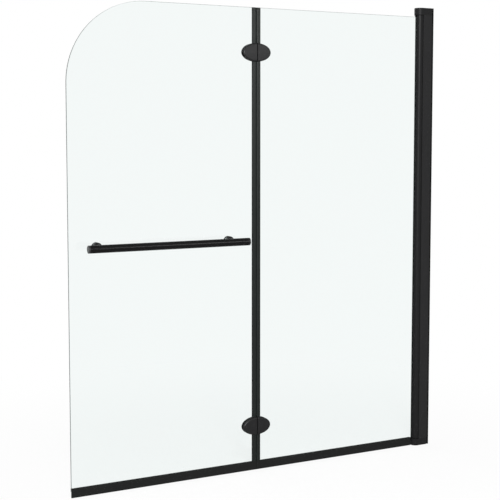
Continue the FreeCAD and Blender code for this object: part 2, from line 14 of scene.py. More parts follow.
import bmesh
import bpy
import numpy as np
from mathutils.geometry import tessellate_polygon
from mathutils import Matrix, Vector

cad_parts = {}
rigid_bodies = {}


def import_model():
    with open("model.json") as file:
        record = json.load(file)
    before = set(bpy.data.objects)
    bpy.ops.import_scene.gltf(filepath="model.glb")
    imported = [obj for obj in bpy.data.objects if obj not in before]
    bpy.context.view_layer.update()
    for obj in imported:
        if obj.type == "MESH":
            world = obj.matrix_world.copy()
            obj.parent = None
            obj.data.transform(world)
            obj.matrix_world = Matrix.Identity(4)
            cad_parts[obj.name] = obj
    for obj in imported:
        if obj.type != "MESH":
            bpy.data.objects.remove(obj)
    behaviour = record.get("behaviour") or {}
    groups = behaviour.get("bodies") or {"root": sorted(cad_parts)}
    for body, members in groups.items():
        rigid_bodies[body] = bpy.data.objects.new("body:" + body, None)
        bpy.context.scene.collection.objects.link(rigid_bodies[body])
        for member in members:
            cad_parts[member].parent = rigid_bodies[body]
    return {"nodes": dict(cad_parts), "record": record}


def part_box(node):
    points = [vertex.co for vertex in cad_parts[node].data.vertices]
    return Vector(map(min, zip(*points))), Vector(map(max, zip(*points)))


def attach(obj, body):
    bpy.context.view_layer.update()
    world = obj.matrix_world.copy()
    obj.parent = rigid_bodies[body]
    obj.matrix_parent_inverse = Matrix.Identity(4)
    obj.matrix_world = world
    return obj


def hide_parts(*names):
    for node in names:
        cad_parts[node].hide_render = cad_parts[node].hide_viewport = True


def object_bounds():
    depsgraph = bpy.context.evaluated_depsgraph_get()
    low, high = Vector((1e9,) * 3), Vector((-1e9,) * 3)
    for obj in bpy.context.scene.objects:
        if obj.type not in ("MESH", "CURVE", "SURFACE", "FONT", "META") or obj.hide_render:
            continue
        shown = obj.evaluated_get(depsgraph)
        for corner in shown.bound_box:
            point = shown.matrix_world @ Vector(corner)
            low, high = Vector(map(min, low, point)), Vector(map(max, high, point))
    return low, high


for leftover in list(bpy.data.objects):
    bpy.data.objects.remove(leftover)
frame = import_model()
cad_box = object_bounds()
print("box in metres", [tuple(round(value, 4) for value in corner) for corner in cad_box])

# %% [markdown]
# The camera stands above half height and to the left, and looks along the screen towards the wall.
# A lens is easiest to think of in pixels: the focal length is how many pixels wide something looks
# that is as wide as it is far away. The picture's own middle lies below the line of sight, which is
# what the shift says.

# %% Camera
camera_place = (-2.108, -2.858, 1.008)
camera_yaw = math.radians(27.13)
camera_pitch = math.radians(4.52)
picture_pixels = 500
focal_pixels = 1093
line_of_sight_row = 219.5
sensor_width = 36.0
nearest_shown = 0.05
farthest_shown = 200


def new_object(name, data):
    """An object at the origin of the scene."""
    thing = bpy.data.objects.new(name, data)
    bpy.context.scene.collection.objects.link(thing)
    return thing


lens = bpy.data.cameras.new("camera")
lens.sensor_width = sensor_width
lens.lens = sensor_width * focal_pixels / picture_pixels
lens.shift_y = (line_of_sight_row - picture_pixels / 2) / picture_pixels
lens.clip_start = nearest_shown
lens.clip_end = farthest_shown
camera = new_object("camera", lens)
camera.location = camera_place
camera.rotation_euler = (math.pi / 2 - camera_pitch, 0, -camera_yaw)
bpy.context.scene.camera = camera
bpy.context.scene.view_settings.view_transform = "Standard"
print("lens", round(lens.lens, 1), "mm, shift", lens.shift_y)

# %% [markdown]
# Shader graphs read best as sums. A Wire is one output of a node, and adding, subtracting or
# multiplying wires and numbers puts the Math nodes in by itself. The class overloads only the
# operators that the finishes use, also the reflected ones, so that 1 - mask works. Every other node
# comes from one method, which sets the node's own settings first and then its sockets.


# %% Wires and node trees
class Wire:
    """One output of a shader node, which takes part in sums and products."""

    def __init__(self, graph, socket):
        self.graph = graph
        self.socket = socket

    def reckon(self, operation, first, second):
        """One Math node."""
        return self.graph.add("ShaderNodeMath", {"operation": operation}, {0: first, 1: second})

    def __add__(self, other):
        return self.reckon("ADD", self, other)

    def __sub__(self, other):
        return self.reckon("SUBTRACT", self, other)

    def __rsub__(self, other):
        return self.reckon("SUBTRACT", other, self)

    def __mul__(self, other):
        return self.reckon("MULTIPLY", self, other)

    __radd__, __rmul__ = __add__, __mul__

    def __gt__(self, other):
        return self.reckon("GREATER_THAN", self, other)

    def __abs__(self):
        return self.reckon("ABSOLUTE", self, 0)


class Graph:
    """The node tree of a material or of the world."""

    def __init__(self, owner):
        owner.use_nodes = True
        self.tree = owner.node_tree
        self.tree.nodes.clear()

    def put(self, socket, value):
        """Gives a socket a number or a colour, or links a wire to it."""
        if isinstance(value, Wire):
            self.tree.links.new(value.socket, socket)
        else:
            socket.default_value = value

    def add(self, kind, settings=None, values=None, output=0):
        """A node of one kind. Its settings come first, then the values or wires of its sockets.
        Gives back one of its outputs."""
        node = self.tree.nodes.new(kind)
        for name, value in (settings or {}).items():
            setattr(node, name, value)
        for name, value in (values or {}).items():
            self.put(node.inputs[name], value)
        return Wire(self, node.outputs[output]) if node.outputs else None

    def mix_colours(self, share, first, second):
        """A blend of two colours: none of the second where the share is 0, all of it at 1."""
        return self.add("ShaderNodeMix", {"data_type": "RGBA"}, {0: share, 6: first, 7: second}, output=2)

    def noise(self, spot, scale, detail):
        """Noise from 0 to 1, with that many lumps to a metre."""
        return self.add("ShaderNodeTexNoise", values={"Vector": spot, "Scale": scale, "Detail": detail})


print("wires know", [name for name in vars(Wire) if name.startswith("__") and name != "__init__"])

# %% [markdown]
# The stage is a plain white room. The floor and the world show as white to the camera, and to rays
# that leave a mirror or a pane of glass, so that black metal and clear glass stand in the same white
# room. What falls on the object as soft light is a weaker, separate amount. Near the object the
# floor is partly an ordinary matt surface, which keeps a faint shadow, and further out it fades into
# the white.

# %% Floor and world
white = (1, 1, 1, 1)
soft_light = 0.25
shadow_share = 0.12
shadow_reach = 1.6
floor_size = 60.0
floor_gap = 0.0004


def seen_directly(graph):
    """1 for a ray from the camera, a mirror or a pane, and 0 for a ray of soft light."""
    rays = ("Is Camera Ray", "Is Glossy Ray", "Is Transmission Ray")
    camera_ray, glossy_ray, passed_ray = [graph.add("ShaderNodeLightPath", output=ray) for ray in rays]
    return (camera_ray + glossy_ray + passed_ray) > 0.5


def dress_world():
    """White where it is seen directly, and a weaker soft light for everything else."""
    world = bpy.data.worlds.new("white room")
    bpy.context.scene.world = world
    graph = Graph(world)
    soft = graph.add("ShaderNodeBackground", values={"Color": white, "Strength": soft_light})
    shown = graph.add("ShaderNodeBackground", values={"Color": white, "Strength": 1.0})
    both = graph.add("ShaderNodeMixShader", values={0: seen_directly(graph), 1: soft, 2: shown})
    graph.add("ShaderNodeOutputWorld", values={"Surface": both})


def floor_finish(centre):
    """To soft light an ordinary matt white. Seen directly it glows white, and near the centre a
    share of the matt surface is mixed in, which holds the shadow."""
    material = bpy.data.materials.new("white floor")
    graph = Graph(material)
    spot = graph.add("ShaderNodeTexCoord", output="Object")
    away = graph.add("ShaderNodeVectorMath", {"operation": "DISTANCE"}, {0: spot, 1: centre},
                     output="Value")
    nearness = graph.add("ShaderNodeMapRange", {"interpolation_type": "SMOOTHSTEP"},
                         {"Value": away, "From Max": shadow_reach, "To Min": shadow_share, "To Max": 0})
    matt = graph.add("ShaderNodeBsdfDiffuse", values={"Color": white})
    glow = graph.add("ShaderNodeEmission", values={"Color": white, "Strength": 1.0})
    shown = graph.add("ShaderNodeMixShader", values={0: nearness, 1: glow, 2: matt})
    both = graph.add("ShaderNodeMixShader", values={0: seen_directly(graph), 1: matt, 2: shown})
    graph.add("ShaderNodeOutputMaterial", values={"Surface": both})
    return material


def lay_floor():
    """A large square a hair below the lowest point of the object."""
    low, high = cad_box
    half = floor_size / 2
    corners = [(-half, -half), (half, -half), (half, half), (-half, half)]
    mesh = bpy.data.meshes.new("floor")
    mesh.from_pydata([(x, y, low.z - floor_gap) for x, y in corners], [], [(0, 1, 2, 3)])
    mesh.materials.append(floor_finish(((low.x + high.x) / 2, (low.y + high.y) / 2, low.z)))
    new_object("floor", mesh)


dress_world()
lay_floor()
print("soft light", soft_light, "- the floor keeps", shadow_share, "of its shadow near the screen")

# %% [markdown]
# The lamps are large and soft. Three are for the whole room. The tall one at the left draws the long
# upright highlight down the round barrel, and it stands high, so that the highlight is strongest in
# the upper half. A small one up in front lights the faces, and one behind lights the bath side.
#
# Black fittings show little but mirrored light, so four more lamps stand where the fittings mirror
# them towards the camera. Two are for the hinges, the upright seals and the rail, one lays a line of
# light along the rail's tube, and one lights the bevels of the hinges. Which pieces a lamp lights is
# settled near the end. No lamp lights the panes, because they would mirror it as a white rectangle.


# %% Lamps
def soft_lamp(name, place, aim, width, height, strength):
    """A rectangular lamp that faces a point. The strength is its brightness beside white."""
    data = bpy.data.lights.new(name, "AREA")
    data.shape = "RECTANGLE"
    data.size = width
    data.size_y = height
    data.energy = strength * math.pi * width * height
    lamp = new_object(name, data)
    lamp.location = place
    way = [goal - start for goal, start in zip(aim, place)]
    across = math.hypot(way[0], way[1])
    lamp.rotation_euler = (math.atan2(across, -way[2]), 0, math.atan2(-way[0], way[1]))
    lamp.visible_camera = False
    print(name, "at", place, "faces", aim)
    return lamp


room_lamps = [
    soft_lamp("tall lamp", (-1.9, -3.2, 1.35), (-0.04, 0, 0.9), width=1.0, height=1.6, strength=10.0),
    soft_lamp("high lamp", (-1.3, -2.35, 2.0), (-0.6, 0, 0.4), width=0.4, height=0.4, strength=110.0),
    soft_lamp("back lamp", (-1.2, 3.2, 2.4), (-0.6, 0, 0.7), width=1.8, height=1.4, strength=2.0),
]
fitting_lamps = [
    soft_lamp("front lamp", (0.70, -2.7, 1.65), (-0.5, 0, 1.2), width=1.0, height=0.9, strength=8.0),
    soft_lamp("left lamp", (-2.7, -1.6, 1.5), (-0.62, 0, 1.24), width=0.5, height=0.8, strength=14.0),
]
rail_lamps = [
    soft_lamp("rail lamp", (0.2, -2.8, 1.35), (-0.93, 0, 0.7), width=1.2, height=0.4, strength=16.0),
]
bevel_lamps = [
    soft_lamp("bevel lamp", (-2.2, -2.2, 1.42), (-0.65, 0, 0.7), width=0.9, height=0.8, strength=42.0),
]

# %% [markdown]
# Nearly everything that isn't glass is black, and what tells the blacks apart is their surface.
# Powder coat on an extrusion has a fine pebbled skin and very faint lines along the draw. The cast
# fittings have the same coat without the lines, and the rail's is the smoothest. Some tones are
# painted light and shade: the sleeve is lighter, for the light that its flats catch, the channel
# behind it is darker, for the shade in its recess, and the rail's tube is darker, as painted shade.
# Moulded caps have an even matt grain, and the rail's plugs are polished. Soft seals are smoother,
# with a painted green tint for the green light from the glass they hold, rubber pads are dull, and
# screws are oiled black steel.
#
# All of them are one function. Clouds, some centimetres wide, change tone and roughness a little, as
# handling and dust do. Grain, under a millimetre wide, is both bump and specks. Lines are the same
# noise, stretched along one axis until it streaks. Everything reads Object coordinates, so a
# pattern stays on its piece when the screen folds.

# %% A finish with clouds, grain and lines
cloud_scale = 14.0
cloud_share = 0.7
dust_scale = 420.0
line_scale = 1600.0
line_stretch = 0.004
bump_depth = 0.00006
plain_black = [(0.0085, 0.0085, 0.0088), (0.0125, 0.0125, 0.013)]


def grained(name, dark, light, roughness, gloss=0.25, metal=0.0, grain_scale=1400.0, grain=0.25,
            lines=None, line_share=0.0, cloudy=0.05):
    """A surface between two tones. The clouds move its tone and its roughness, the grain its
    bump and, a little, its tone. Lines, if any, run along x or z."""
    material = bpy.data.materials.new(name)
    graph = Graph(material)
    spot = graph.add("ShaderNodeTexCoord", output="Object")
    clouds = graph.noise(spot, cloud_scale, detail=3)
    dust = graph.noise(spot, dust_scale, detail=2)
    pebbles = graph.noise(spot, grain_scale, detail=2)
    height = pebbles
    uneven = clouds * cloud_share + dust * (1 - cloud_share)
    if lines:
        stretch = [line_stretch if axis == lines else 1.0 for axis in "xyz"]
        drawn = graph.add("ShaderNodeMapping", values={"Vector": spot, "Scale": stretch})
        streaks = graph.noise(drawn, line_scale, detail=1)
        height = pebbles * (1 - line_share) + streaks * line_share
        uneven = uneven * (1 - line_share) + streaks * line_share
    bump = graph.add("ShaderNodeBump", values={"Strength": grain, "Distance": bump_depth, "Height": height})
    surface = graph.add("ShaderNodeBsdfPrincipled", values={
        "Base Color": graph.mix_colours(uneven, (*dark, 1), (*light, 1)),
        "Roughness": uneven * (2 * cloudy) + (roughness - cloudy),
        "Specular IOR Level": gloss, "Metallic": metal, "Normal": bump})
    graph.add("ShaderNodeOutputMaterial", values={"Surface": surface})
    return material


finishes = {
    "black_profile": grained(
        "powder coat on extrusions", *plain_black,
        roughness=0.35, gloss=0.08, lines="z", line_share=0.35),
    # The sleeve's tones are lighter than the other extrusions': painted light, for the light that its flats
    # catch.
    "adjusting_sleeve": grained(
        "powder coat on the sleeve", (0.014, 0.014, 0.0145), (0.019, 0.019, 0.0196),
        roughness=0.42, gloss=0.08, lines="z", line_share=0.35),
    "black_hardware": grained(
        "powder coat on fittings", (0.0055, 0.0055, 0.0057), (0.0082, 0.0082, 0.0085),
        roughness=0.38, gloss=0.11, grain_scale=1100.0),
    # The rail's tones are the darkest of the fittings: painted shade, which makes the tube read darker than
    # the hinges.
    "rail_tube": grained(
        "powder coat on the rail", (0.0022, 0.0022, 0.0023), (0.0036, 0.0036, 0.0037),
        roughness=0.27, gloss=0.07, lines="x", line_share=0.3),
    # The channel's tones are darker than the sleeve's: painted shade, for the recess that it sits in behind
    # the sleeve.
    "wall_channel": grained(
        "black anodised channel", (0.003, 0.003, 0.0032), (0.005, 0.005, 0.0052),
        roughness=0.5, gloss=0.08, lines="z", line_share=0.5),
    "black_caps": grained(
        "moulded black plastic", *plain_black,
        roughness=0.45, gloss=0.10, grain_scale=2200.0, grain=0.35),
    # The green in these seal tones is a painted tint: it stands for the green light from the glass that the
    # seals hold.
    "black_seal": grained(
        "soft black seal", (0.0055, 0.0072, 0.0066), (0.0085, 0.0110, 0.0102),
        roughness=0.38, gloss=0.14, lines="z", line_share=0.6, grain=0.15),
    "black_pad": grained(
        "rubber pad", (0.006, 0.006, 0.006), (0.010, 0.010, 0.010),
        roughness=0.70, gloss=0.20, grain_scale=1800.0, grain=0.5),
    "nylon_washer": grained(
        "white nylon", (0.66, 0.68, 0.68), (0.74, 0.76, 0.76), roughness=0.42, gloss=0.5),
    "nylon_bush": grained(
        "black nylon", (0.028, 0.028, 0.029), (0.040, 0.040, 0.041), roughness=0.45),
    "black_screws": grained(
        "oiled black steel", (0.010, 0.010, 0.0105), (0.020, 0.019, 0.018),
        roughness=0.34, gloss=0.40, grain_scale=2600.0, grain=0.15, cloudy=0.08),
    "steel": grained(
        "turned stainless steel", (0.50, 0.50, 0.51), (0.62, 0.61, 0.60),
        roughness=0.30, gloss=0.5, metal=1.0, lines="x", line_share=0.7, grain=0.2),
}
for panel in ("inner", "outer"):
    finishes[f"{panel}_foot_seal"] = grained(
        f"soft black seal, {panel} foot", (0.0066, 0.0069, 0.0068), (0.0104, 0.0108, 0.0107),
        roughness=0.42, gloss=0.11, lines="x", line_share=0.6, grain=0.15)
for end in ("left", "right"):
    finishes[f"rail_{end}_plug"] = grained(
        f"polished black plug, {end}", *plain_black, roughness=0.28, gloss=0.35, grain_scale=2200.0)
print("finishes:", ", ".join(material.name for material in finishes.values()))

# %% [markdown]
# Toughened glass is clear with a breath of green, and most of that shows where light runs along the
# pane instead of through it: the edges are ground, so they scatter, and they look grey-green and
# darker than anything behind the pane. One material does both. The normal in the piece's own
# coordinates points along y on the two faces of a pane and away from y on its edges, which stays
# true wherever the panel has swung. Lamps shine through the pane as through a pale filter, because
# a real refraction of their light would need far more samples.

# %% Glass with ground edges
pane_colour = (0.905, 0.942, 0.934, 1)
edge_colour = (0.30, 0.36, 0.35, 1)
edge_dark = (0.20, 0.25, 0.24, 1)
lamp_filter = (0.90, 0.94, 0.93, 1)
face_turn = 0.85
grind_scale = 900.0
grind_bump = 0.4
grind_roughness = 0.35
glass_index = 1.5
glass_gloss = (0.3, 0.3, 0.3, 1)


def glass_finish():
    """Clear inside a pane's faces, ground on its edges, where the grain shows as bump and tone."""
    material = bpy.data.materials.new("clear glass")
    graph = Graph(material)
    spot = graph.add("ShaderNodeTexCoord", output="Object")
    facing = graph.add("ShaderNodeTexCoord", output="Normal")
    across = graph.add("ShaderNodeSeparateXYZ", values={0: facing}, output="Y")
    rim = 1 - (abs(across) > face_turn)
    grinding = graph.noise(spot, grind_scale, detail=2)
    ground = graph.mix_colours(grinding, edge_dark, edge_colour)
    bump = graph.add("ShaderNodeBump", values={"Strength": grind_bump, "Distance": bump_depth,
                                               "Height": grinding * rim})
    surface = graph.add("ShaderNodeBsdfPrincipled", values={
        "Base Color": graph.mix_colours(rim, pane_colour, ground), "Roughness": rim * grind_roughness,
        "Transmission Weight": 1.0, "IOR": glass_index, "Specular Tint": glass_gloss, "Normal": bump})
    clear = graph.add("ShaderNodeBsdfTransparent", values={"Color": lamp_filter})
    lamp_ray = graph.add("ShaderNodeLightPath", output="Is Shadow Ray")
    both = graph.add("ShaderNodeMixShader", values={0: lamp_ray, 1: surface, 2: clear})
    graph.add("ShaderNodeOutputMaterial", values={"Surface": both})
    return material


finishes["clear_glass"] = glass_finish()
print("faces", pane_colour[:3], "edges", edge_dark[:3], "to", edge_colour[:3])

# %% [markdown]
# Most fittings are either a bar of one section, such as an aluminium extrusion or a rubber seal, or
# a turned piece, such as a post or a screw. Both start from an outline, an array of points in a
# plane. Real edges are never quite sharp, so the corners of an outline are replaced by short
# parabolas. An arc of a circle would do as well, but a parabola needs only its corner and its two
# ends, whatever the angle.

# %% Outlines
mm = 0.001
corner_turn = 30.0
corner_steps = 5
edge_round = 0.3 * mm
nook_round = 0.2 * mm


def unit(vectors):
    """Vectors scaled to length one."""
    return vectors / np.linalg.norm(vectors, axis=-1, keepdims=True)


def arc(radius, first, last, steps, centre=(0, 0)):
    """Points on a circle from one angle to another, in degrees. The radius may change on the way."""
    angle = np.radians(np.linspace(first, last, steps))
    return np.stack([radius * np.cos(angle), radius * np.sin(angle)], axis=1) + np.array(centre)


def counterclockwise(loop):
    """A closed outline in the order that has its inside on the left: the area that its points
    enclose, half the sum of x times the next y less y times the next x, is then above zero."""
    loop = np.asarray(loop, float)
    ahead = np.roll(loop, -1, axis=0)
    area = (loop[:, 0] * ahead[:, 1] - loop[:, 1] * ahead[:, 0]).sum() / 2
    return loop if area > 0 else loop[::-1]


def soften(loop, reach):
    """Rounds the corners of a closed outline. Where it turns by more than the corner turn, the
    corner becomes a parabola from start to end, both the reach away from it: at share s this is
    (1 - s) squared of the start, 2 s (1 - s) of the corner and s squared of the end."""
    loop = np.asarray(loop, float)
    back = unit(np.roll(loop, 1, axis=0) - loop)[:, None]
    ahead = unit(np.roll(loop, -1, axis=0) - loop)[:, None]
    sharp = (back * ahead).sum(axis=2) > -math.cos(math.radians(corner_turn))
    share = np.linspace(0, 1, corner_steps)[None, :, None]
    far = np.broadcast_to(reach, len(loop))[:, None, None]
    corner = loop[:, None]
    bend = (1 - share) ** 2 * (corner + far * back) + 2 * share * (1 - share) * corner
    bend = bend + share ** 2 * (corner + far * ahead)
    kept = sharp | (np.arange(corner_steps) == 0)
    return np.where(sharp[:, :, None], bend, corner)[kept]


def rounded(corners):
    """A softened outline from corners of three numbers, the third being the reach there."""
    corners = np.array(corners, float)
    return soften(corners[:, :2], corners[:, 2])


def inward(loop):
    """The step at each point that draws a counterclockwise outline in by one: the sum of the inward
    normals of the two edges that meet there, over one plus their scalar product."""
    edge = unit(np.roll(loop, -1, axis=0) - loop)
    normal = np.stack([-edge[:, 1], edge[:, 0]], axis=1)
    before = np.roll(normal, 1, axis=0)
    return (normal + before) / (1 + (normal * before).sum(axis=1, keepdims=True))


square = soften([(0, 0), (1, 0), (1, 1), (0, 1)], 0.2)
print("a softened square has", len(square), "points")

# %% [markdown]
# Two builders do nearly all the work. One carries an outline along a line as a stack of rings, and
# draws the ends of the bar in along a quarter circle, which is what catches the light. The other
# turns rings about an axis. Both work on whole arrays: the points of a shape are a grid, and the
# faces follow from the grid's numbering.

# %% Surfaces on a grid
axes = {
    "x": np.array([(0, 1, 0), (0, 0, 1), (1, 0, 0)]),
    "y": np.array([(1, 0, 0), (0, 0, 1), (0, 1, 0)]),
    "z": np.eye(3),
}
end_round = 0.35 * mm
end_steps = 4
turned_steps = 72
enlarged = 1000


def grid_faces(rows, columns, around=True):
    """Four-cornered faces between the points of a grid that is numbered row by row. Around says
    that the last column joins the first."""
    row = np.arange(rows - 1)[:, None] * columns
    column = np.arange(columns if around else columns - 1)[None, :]
    ahead = (column + 1) % columns
    corners = [row + column, row + ahead, row + columns + ahead, row + columns + column]
    return np.stack(corners, axis=-1).reshape(-1, 4)


def together(*shapes):
    """Several shapes, each a pair of points and faces, as one."""
    starts = np.cumsum([0] + [len(points) for points, faces in shapes])
    faces = [[index + start for index in face]
             for (points, made), start in zip(shapes, starts) for face in made]
    return np.concatenate([points for points, made in shapes]), faces


def placed(shape, way, origin=(0, 0, 0)):
    """Lays a shape's own upright axis along x, y or z, and moves it."""
    points, faces = shape
    return points @ axes[way] + np.array(origin), faces


def bar(outline, low, high, holes=()):
    """A bar of one section. Each outline is a stack of rings. At both ends the rings follow a
    quarter circle of radius r: at angle t they are drawn in by r (1 - sin t) and lie r (1 - cos t)
    from the end, so the outside and the holes both get a round rim. The end faces are triangles,
    found on an enlarged copy, because points very close together would count as one."""
    turn = np.linspace(0, math.pi / 2, end_steps)
    drawn = end_round * (1 - np.sin(turn))
    rise = end_round * (1 - np.cos(turn))
    drawn = np.concatenate([drawn, drawn[::-1]])[:, None, None]
    heights = np.concatenate([low + rise, high - rise[::-1]])
    loops = [counterclockwise(outline)] + [counterclockwise(hole) for hole in holes]
    sides = [1] + [-1] * len(holes)
    walls, ends = [], []
    for loop, side in zip(loops, sides):
        rings = loop[None] + drawn * side * inward(loop)[None]
        upright = np.broadcast_to(heights[:, None, None], (len(heights), len(loop), 1))
        walls.append((np.concatenate([rings, upright], axis=2).reshape(-1, 3),
                      grid_faces(len(heights), len(loop)).tolist()))
        ends.append(np.pad(rings[0] * enlarged, ((0, 0), (0, 1))))
    triangles = np.array(tessellate_polygon([end.tolist() for end in ends]))
    starts = np.cumsum([0] + [len(points) for points, made in walls])[:-1]
    low_names = np.concatenate([np.arange(len(loop)) + start for loop, start in zip(loops, starts)])
    rise_to_top = np.concatenate([np.full(len(loop), (len(heights) - 1) * len(loop)) for loop in loops])
    points, faces = together(*walls)
    return points, faces + low_names[triangles].tolist() + (low_names + rise_to_top)[triangles].tolist()


def turned(rows, steps=turned_steps, hollow=False):
    """A turned piece. A row is a radius, a distance along the axis and, if it has a third number,
    how six-sided the ring is. A six-sided ring's radius at angle a is that of its corners times
    cos 30 over cos (a modulo 60, less 30) degrees. A hollow piece's last row joins the first."""
    rows = np.array([tuple(row) + (0,) * (3 - len(row)) for row in rows], float)
    rows = np.concatenate([rows, rows[:1]]) if hollow else rows
    angle = np.linspace(0, 2 * math.pi, steps, endpoint=False)[None]
    sixth = math.pi / 3
    six_sided = math.cos(sixth / 2) / np.cos(angle % sixth - sixth / 2)
    radius, along, share = rows[:, 0:1], rows[:, 1:2], rows[:, 2:3]
    radius = radius * (1 - share + share * six_sided)
    points = np.stack([radius * np.cos(angle), radius * np.sin(angle), along + 0 * angle], axis=-1)
    return points.reshape(-1, 3), grid_faces(len(rows), steps).tolist()


points, faces = bar(square, 0, 1)
print("a bar of it has", len(points), "points and", len(faces), "faces")

# %% [markdown]
# Every new piece goes through one door. It stands for one engineering piece, so it takes its body
# and its material slot from the record. Points that coincide at poles and seams are merged, and the
# faces are turned outwards. Shading is smooth except where the surface turns sharply, and weighted
# normals keep large flat faces flat beside their small round edges.

# %% From arrays to pieces
merge_distance = 0.001 * mm
crease = math.radians(40)
flat_turn = math.radians(0.5)
bevel_segments = 2
bodies = frame["record"]["behaviour"]["bodies"]
body_of = {node: body for body, members in bodies.items() for node in members}
slot_of = {row["node"]: row["material_slot"] for row in frame["record"]["subparts"]}
print("pieces on bodies:", {body: len(members) for body, members in bodies.items()})


def middle(node):
    """The middle of an engineering piece's box."""
    return [(low + high) / 2 for low, high in zip(*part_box(node))]


def sealed(mesh, flat_parts=False):
    """Merges points that coincide and turns all faces outwards. With flat_parts, faces that lie in
    one plane become one face."""
    shell = bmesh.new()
    shell.from_mesh(mesh)
    bmesh.ops.remove_doubles(shell, verts=shell.verts, dist=merge_distance)
    if flat_parts:
        bmesh.ops.dissolve_limit(shell, angle_limit=flat_turn, verts=shell.verts, edges=shell.edges)
    bmesh.ops.recalc_face_normals(shell, faces=shell.faces)
    shell.to_mesh(mesh)
    shell.free()
    mesh.shade_smooth()
    mesh.set_sharp_from_angle(angle=crease)


def show(node, mesh):
    """Puts a mesh in the place of one engineering piece."""
    mesh.materials.clear()
    mesh.materials.append(finishes.get(node, finishes[slot_of[node]]))
    piece = new_object("fine_" + node, mesh)
    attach(piece, body_of[node])
    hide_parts(node)
    return piece


def shade_evenly(piece):
    """Lets the large faces decide how the shading runs where they meet small ones."""
    even = piece.modifiers.new("even shading", "WEIGHTED_NORMAL")
    even.keep_sharp = True


def surface_piece(node, shape):
    """A piece from points and faces."""
    points, faces = shape
    mesh = bpy.data.meshes.new(node)
    mesh.from_pydata(points, [], faces)
    sealed(mesh)
    shade_evenly(show(node, mesh))
    print(node, len(mesh.polygons), "faces")


def softened_piece(node, width):
    """A copy of an engineering piece whose sharp edges are rounded by a Bevel modifier."""
    mesh = frame["nodes"][node].data.copy()
    sealed(mesh, flat_parts=True)
    piece = show(node, mesh)
    rounding = piece.modifiers.new("round edges", "BEVEL")
    rounding.width = width
    rounding.segments = bevel_segments
    rounding.limit_method = "ANGLE"
    rounding.angle_limit = crease
    shade_evenly(piece)
    print(node, len(mesh.polygons), "faces, edges rounded", round(width / mm, 2), "mm")


# %% [markdown]
# The wall profile is three aluminium extrusions inside each other. The channel on the wall stays as
# the engineering model has it, only with its edges rounded. The sleeve that slides on it is seen
# most, so its section is drawn again: two flat sides, a hollow seat for the barrel and two round
# screw ports behind the seat.

# %% The adjusting sleeve
barrel_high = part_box("pivot_barrel")[1]
barrel_radius = barrel_high.y
axis_x = barrel_high.x - barrel_radius
seat_gap = 0.5 * mm
seat_wall = 1.5 * mm
sleeve_wall = 1.4 * mm
port_bore = 2.0 * mm
port_wall = 1.2 * mm
port_offset = 8.0 * mm
extrusion_round = 0.45 * mm
channel_round = 0.25 * mm
bore_steps = 24
seat_steps = 61
back_steps = 81


def circle(radius, centre=(0, 0), steps=bore_steps):
    """A closed circle, without its first point twice."""
    return arc(radius, 0, 360 - 360 / steps, steps, centre)


def upright_bar(node, outline, holes=()):
    """A bar along the swing axis, as long as its engineering piece."""
    low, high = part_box(node)
    surface_piece(node, placed(bar(outline, low.z, high.z, holes), "z", (axis_x, 0, 0)))


def sleeve_section():
    """The section about the swing axis. Behind the seat its radius is that of the seat's wall or of
    a port, whichever reaches further: a port of radius r at distance d reaches to d cos p plus the
    root of r squared less (d sin p) squared, where p is the angle from the port."""
    low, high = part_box("adjusting_sleeve")
    tip, back = low.x - axis_x, high.x - axis_x
    half, inside = high.y, high.y - sleeve_wall
    seat = barrel_radius + seat_gap
    outside = seat + seat_wall
    distance = outside + port_bore
    lean = math.asin(port_offset / distance)
    meeting = math.degrees(math.asin(inside / outside))
    angle = np.radians(np.linspace(meeting, -meeting, back_steps))
    across = distance * np.sin(np.abs(angle) - lean)
    reach = distance * np.cos(np.abs(angle) - lean)
    reach = reach + np.sqrt(np.maximum((port_bore + port_wall) ** 2 - across ** 2, 0))
    behind = np.where(np.abs(across) < port_bore + port_wall, np.maximum(reach, outside), outside)
    opening = math.degrees(math.acos(tip / seat))
    outline = np.concatenate([
        [(tip, half), (back, half), (back, inside)],
        arc(behind, meeting, -meeting, back_steps),
        [(back, -inside), (back, -half), (tip, -half)],
        arc(seat, -opening, opening, seat_steps),
    ])
    port_x = math.sqrt(distance ** 2 - port_offset ** 2)
    ports = [circle(port_bore, (port_x, side * port_offset)) for side in (-1, 1)]
    return soften(outline[::-1], extrusion_round), ports


upright_bar("adjusting_sleeve", *sleeve_section())
softened_piece("wall_channel", channel_round)

# %% [markdown]
# The barrel is the round bar that the glass is glazed into. It turns in the sleeve's seat. Its
# section has a thin round wall, a pocket for the glass with a jaw on each side, a bore for the
# pivots' bushes, and a rib that ties the bore to the wall. The gasket is a U of soft rubber that
# packs the glass in the pocket.

# %% The pivot barrel and its gasket
barrel_wall = 1.6 * mm
gasket_low, gasket_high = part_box("barrel_gasket")
pocket_half = gasket_high.y
bore_radius = 4.5 * mm
pocket_floor = axis_x - gasket_high.x
glass_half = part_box("inner_glass")[1].y
gasket_wall = pocket_half - glass_half
lip_round = 0.5 * mm
barrel_steps = 121
hollow_steps = 40
pocket_steps = 12


def barrel_section():
    """The round outside with its pocket, one hollow on each side and the bore."""
    inside = barrel_radius - barrel_wall
    jaw = pocket_half + barrel_wall
    mouth = 180 - math.degrees(math.asin(pocket_half / barrel_radius))
    outline = np.concatenate([
        arc(barrel_radius, -mouth, mouth, barrel_steps),
        [(-pocket_floor, pocket_half), (-pocket_floor, -pocket_half)],
    ])
    rib = barrel_wall / 2
    rib_side, jaw_side = [math.degrees(math.asin(edge / inside)) for edge in (rib, jaw)]
    rib_foot = math.degrees(math.asin(rib / pocket_floor))
    hollow = np.concatenate([
        arc(inside, rib_side, 180 - jaw_side, hollow_steps),
        arc(pocket_floor, 90, rib_foot, pocket_steps),
    ])
    return soften(outline, lip_round), [hollow, hollow * (1, -1), circle(bore_radius)]


